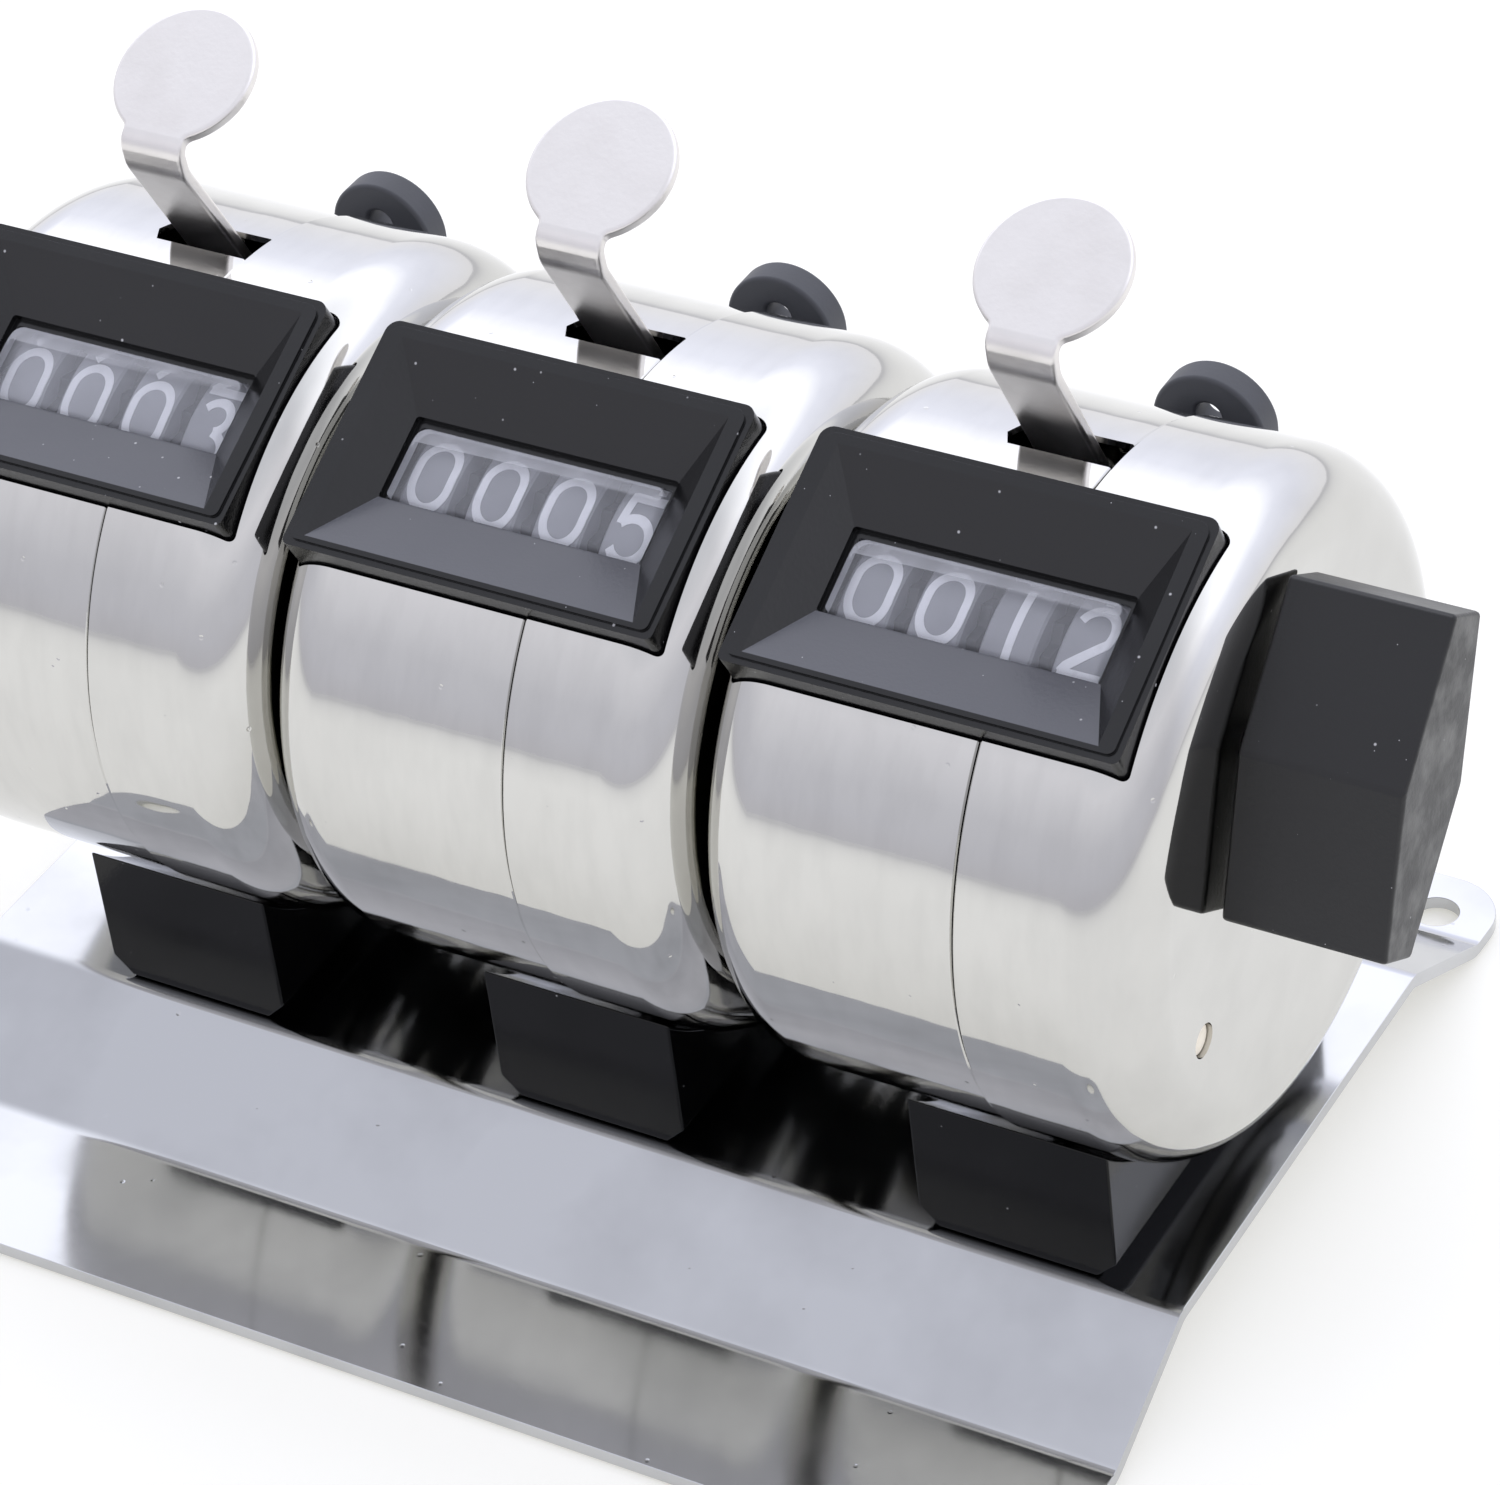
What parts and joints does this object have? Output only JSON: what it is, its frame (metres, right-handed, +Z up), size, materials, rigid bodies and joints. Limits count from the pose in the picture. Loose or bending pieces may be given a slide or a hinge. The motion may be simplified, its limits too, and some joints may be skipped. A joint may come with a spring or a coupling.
{
  "type": "desk tally counter bank",
  "caption": "Row of chromed drum tally counters on a bent sheet base, each with a thumb lever and digit wheels behind a black window, with one side knob that resets them all",
  "frame": {"origin": "middle of the footprint at desk level, knob included", "axes": "+X along the bank towards the reset knob, +Y to the back, +Z up"},
  "size_m": [0.1054, 0.072, 0.0693],
  "materials": {
    "base_chrome": "polished chrome plate on bent sheet steel",
    "shell_chrome": "mirror chrome plate on drawn steel",
    "bezel_black": "satin moulded plastic",
    "window_clear": "clear moulded plastic, slightly milky",
    "wheel_black": "dark moulded plastic with white numerals",
    "pinion_brass": "plain",
    "steel": "plain bright steel",
    "lever_nickel": "satin nickel plate, tumbled edges",
    "knob_black": "satin moulded plastic",
    "foot_black": "glossy moulded plastic",
    "chassis_black": "satin dark plastic"
  },
  "bodies": {
    "stand": {"base_plate": "base_chrome", "left_left_shell": "shell_chrome", "left_right_shell": "shell_chrome", "left_bezel": "bezel_black", "left_lens": "window_clear", "left_chassis": "chassis_black", "left_pinion_shaft": "steel", "left_lever_pin": "steel", "left_return_spring": "steel", "left_foot": "foot_black", "left_foot_screw": "steel", "middle_left_shell": "shell_chrome", "middle_right_shell": "shell_chrome", "middle_bezel": "bezel_black", "middle_lens": "window_clear", "middle_chassis": "chassis_black", "middle_pinion_shaft": "steel", "middle_lever_pin": "steel", "middle_return_spring": "steel", "middle_foot": "foot_black", "middle_foot_screw": "steel", "right_left_shell": "shell_chrome", "right_right_shell": "shell_chrome", "right_bezel": "bezel_black", "right_lens": "window_clear", "right_chassis": "chassis_black", "right_pinion_shaft": "steel", "right_lever_pin": "steel", "right_return_spring": "steel", "right_foot": "foot_black", "right_foot_screw": "steel"},
    "left_thousands_wheel": {"left_thousands_wheel": "wheel_black"},
    "left_hundreds_wheel": {"left_hundreds_wheel": "wheel_black"},
    "left_tens_wheel": {"left_tens_wheel": "wheel_black"},
    "left_units_wheel": {"left_units_wheel": "wheel_black"},
    "left_transfer_pinion_1": {"left_transfer_pinion_1": "pinion_brass"},
    "left_transfer_pinion_2": {"left_transfer_pinion_2": "pinion_brass"},
    "left_transfer_pinion_3": {"left_transfer_pinion_3": "pinion_brass"},
    "left_lever": {"left_thumb_lever": "lever_nickel"},
    "left_pawl": {"left_pawl": "steel"},
    "middle_thousands_wheel": {"middle_thousands_wheel": "wheel_black"},
    "middle_hundreds_wheel": {"middle_hundreds_wheel": "wheel_black"},
    "middle_tens_wheel": {"middle_tens_wheel": "wheel_black"},
    "middle_units_wheel": {"middle_units_wheel": "wheel_black"},
    "middle_transfer_pinion_1": {"middle_transfer_pinion_1": "pinion_brass"},
    "middle_transfer_pinion_2": {"middle_transfer_pinion_2": "pinion_brass"},
    "middle_transfer_pinion_3": {"middle_transfer_pinion_3": "pinion_brass"},
    "middle_lever": {"middle_thumb_lever": "lever_nickel"},
    "middle_pawl": {"middle_pawl": "steel"},
    "right_thousands_wheel": {"right_thousands_wheel": "wheel_black"},
    "right_hundreds_wheel": {"right_hundreds_wheel": "wheel_black"},
    "right_tens_wheel": {"right_tens_wheel": "wheel_black"},
    "right_units_wheel": {"right_units_wheel": "wheel_black"},
    "right_transfer_pinion_1": {"right_transfer_pinion_1": "pinion_brass"},
    "right_transfer_pinion_2": {"right_transfer_pinion_2": "pinion_brass"},
    "right_transfer_pinion_3": {"right_transfer_pinion_3": "pinion_brass"},
    "right_lever": {"right_thumb_lever": "lever_nickel"},
    "right_pawl": {"right_pawl": "steel"},
    "reset": {"reset_shaft": "steel", "reset_knob": "knob_black"}
  },
  "joints": [
    {"name": "left_thousands_wheel_turn", "type": "hinge", "parent": "stand", "child": "left_thousands_wheel", "pos_m": [-0.0377, -0.0024, 0.04255], "axis": [1, 0, 0], "continuous": true},
    {"name": "left_hundreds_wheel_turn", "type": "hinge", "parent": "stand", "child": "left_hundreds_wheel", "pos_m": [-0.0377, -0.0024, 0.04255], "axis": [1, 0, 0], "continuous": true},
    {"name": "left_tens_wheel_turn", "type": "hinge", "parent": "stand", "child": "left_tens_wheel", "pos_m": [-0.0377, -0.0024, 0.04255], "axis": [1, 0, 0], "continuous": true},
    {"name": "left_units_wheel_turn", "type": "hinge", "parent": "stand", "child": "left_units_wheel", "pos_m": [-0.0377, -0.0024, 0.04255], "axis": [1, 0, 0], "continuous": true},
    {"name": "left_pinion_1_turn", "type": "hinge", "parent": "stand", "child": "left_transfer_pinion_1", "pos_m": [-0.0377, 0.00285, 0.03266], "axis": [1, 0, 0], "continuous": true},
    {"name": "left_pinion_2_turn", "type": "hinge", "parent": "stand", "child": "left_transfer_pinion_2", "pos_m": [-0.0377, 0.00285, 0.03266], "axis": [1, 0, 0], "continuous": true},
    {"name": "left_pinion_3_turn", "type": "hinge", "parent": "stand", "child": "left_transfer_pinion_3", "pos_m": [-0.0377, 0.00285, 0.03266], "axis": [1, 0, 0], "continuous": true},
    {"name": "left_lever_press", "type": "hinge", "parent": "stand", "child": "left_lever", "pos_m": [-0.0377, 0.01195, 0.0464], "axis": [1, 0, 0], "range_deg": [0, 6], "stiffness_Nm_per_rad": 0.066, "springref_deg": -25.78},
    {"name": "left_pawl_swing", "type": "hinge", "parent": "left_lever", "child": "left_pawl", "pos_m": [-0.0377, 0.00875, 0.0459], "axis": [1, 0, 0], "range_deg": [0, 12], "stiffness_Nm_per_rad": 0.002, "springref_deg": -28.65},
    {"name": "middle_thousands_wheel_turn", "type": "hinge", "parent": "stand", "child": "middle_thousands_wheel", "pos_m": [-0.0062, -0.0024, 0.04255], "axis": [1, 0, 0], "continuous": true},
    {"name": "middle_hundreds_wheel_turn", "type": "hinge", "parent": "stand", "child": "middle_hundreds_wheel", "pos_m": [-0.0062, -0.0024, 0.04255], "axis": [1, 0, 0], "continuous": true},
    {"name": "middle_tens_wheel_turn", "type": "hinge", "parent": "stand", "child": "middle_tens_wheel", "pos_m": [-0.0062, -0.0024, 0.04255], "axis": [1, 0, 0], "continuous": true},
    {"name": "middle_units_wheel_turn", "type": "hinge", "parent": "stand", "child": "middle_units_wheel", "pos_m": [-0.0062, -0.0024, 0.04255], "axis": [1, 0, 0], "continuous": true},
    {"name": "middle_pinion_1_turn", "type": "hinge", "parent": "stand", "child": "middle_transfer_pinion_1", "pos_m": [-0.0062, 0.00285, 0.03266], "axis": [1, 0, 0], "continuous": true},
    {"name": "middle_pinion_2_turn", "type": "hinge", "parent": "stand", "child": "middle_transfer_pinion_2", "pos_m": [-0.0062, 0.00285, 0.03266], "axis": [1, 0, 0], "continuous": true},
    {"name": "middle_pinion_3_turn", "type": "hinge", "parent": "stand", "child": "middle_transfer_pinion_3", "pos_m": [-0.0062, 0.00285, 0.03266], "axis": [1, 0, 0], "continuous": true},
    {"name": "middle_lever_press", "type": "hinge", "parent": "stand", "child": "middle_lever", "pos_m": [-0.0062, 0.01195, 0.0464], "axis": [1, 0, 0], "range_deg": [0, 6], "stiffness_Nm_per_rad": 0.066, "springref_deg": -25.78},
    {"name": "middle_pawl_swing", "type": "hinge", "parent": "middle_lever", "child": "middle_pawl", "pos_m": [-0.0062, 0.00875, 0.0459], "axis": [1, 0, 0], "range_deg": [0, 12], "stiffness_Nm_per_rad": 0.002, "springref_deg": -28.65},
    {"name": "right_thousands_wheel_turn", "type": "hinge", "parent": "stand", "child": "right_thousands_wheel", "pos_m": [0.0253, -0.0024, 0.04255], "axis": [1, 0, 0], "continuous": true},
    {"name": "right_hundreds_wheel_turn", "type": "hinge", "parent": "stand", "child": "right_hundreds_wheel", "pos_m": [0.0253, -0.0024, 0.04255], "axis": [1, 0, 0], "continuous": true},
    {"name": "right_tens_wheel_turn", "type": "hinge", "parent": "stand", "child": "right_tens_wheel", "pos_m": [0.0253, -0.0024, 0.04255], "axis": [1, 0, 0], "continuous": true},
    {"name": "right_units_wheel_turn", "type": "hinge", "parent": "stand", "child": "right_units_wheel", "pos_m": [0.0253, -0.0024, 0.04255], "axis": [1, 0, 0], "continuous": true},
    {"name": "right_pinion_1_turn", "type": "hinge", "parent": "stand", "child": "right_transfer_pinion_1", "pos_m": [0.0253, 0.00285, 0.03266], "axis": [1, 0, 0], "continuous": true},
    {"name": "right_pinion_2_turn", "type": "hinge", "parent": "stand", "child": "right_transfer_pinion_2", "pos_m": [0.0253, 0.00285, 0.03266], "axis": [1, 0, 0], "continuous": true},
    {"name": "right_pinion_3_turn", "type": "hinge", "parent": "stand", "child": "right_transfer_pinion_3", "pos_m": [0.0253, 0.00285, 0.03266], "axis": [1, 0, 0], "continuous": true},
    {"name": "right_lever_press", "type": "hinge", "parent": "stand", "child": "right_lever", "pos_m": [0.0253, 0.01195, 0.0464], "axis": [1, 0, 0], "range_deg": [0, 6], "stiffness_Nm_per_rad": 0.066, "springref_deg": -25.78},
    {"name": "right_pawl_swing", "type": "hinge", "parent": "right_lever", "child": "right_pawl", "pos_m": [0.0253, 0.00875, 0.0459], "axis": [1, 0, 0], "range_deg": [0, 12], "stiffness_Nm_per_rad": 0.002, "springref_deg": -28.65},
    {"name": "reset_turn", "type": "hinge", "parent": "stand", "child": "reset", "pos_m": [0.0473, -0.0024, 0.04255], "axis": [1, 0, 0], "continuous": true}
  ],
  "couplings": [
    {"joint": "left_pinion_1_turn", "follows": "left_thousands_wheel_turn", "ratio": -2.5},
    {"joint": "left_pinion_2_turn", "follows": "left_hundreds_wheel_turn", "ratio": -2.5},
    {"joint": "left_pinion_3_turn", "follows": "left_tens_wheel_turn", "ratio": -2.5},
    {"joint": "middle_pinion_1_turn", "follows": "middle_thousands_wheel_turn", "ratio": -2.5},
    {"joint": "middle_pinion_2_turn", "follows": "middle_hundreds_wheel_turn", "ratio": -2.5},
    {"joint": "middle_pinion_3_turn", "follows": "middle_tens_wheel_turn", "ratio": -2.5},
    {"joint": "right_pinion_1_turn", "follows": "right_thousands_wheel_turn", "ratio": -2.5},
    {"joint": "right_pinion_2_turn", "follows": "right_hundreds_wheel_turn", "ratio": -2.5},
    {"joint": "right_pinion_3_turn", "follows": "right_tens_wheel_turn", "ratio": -2.5}
  ]
}
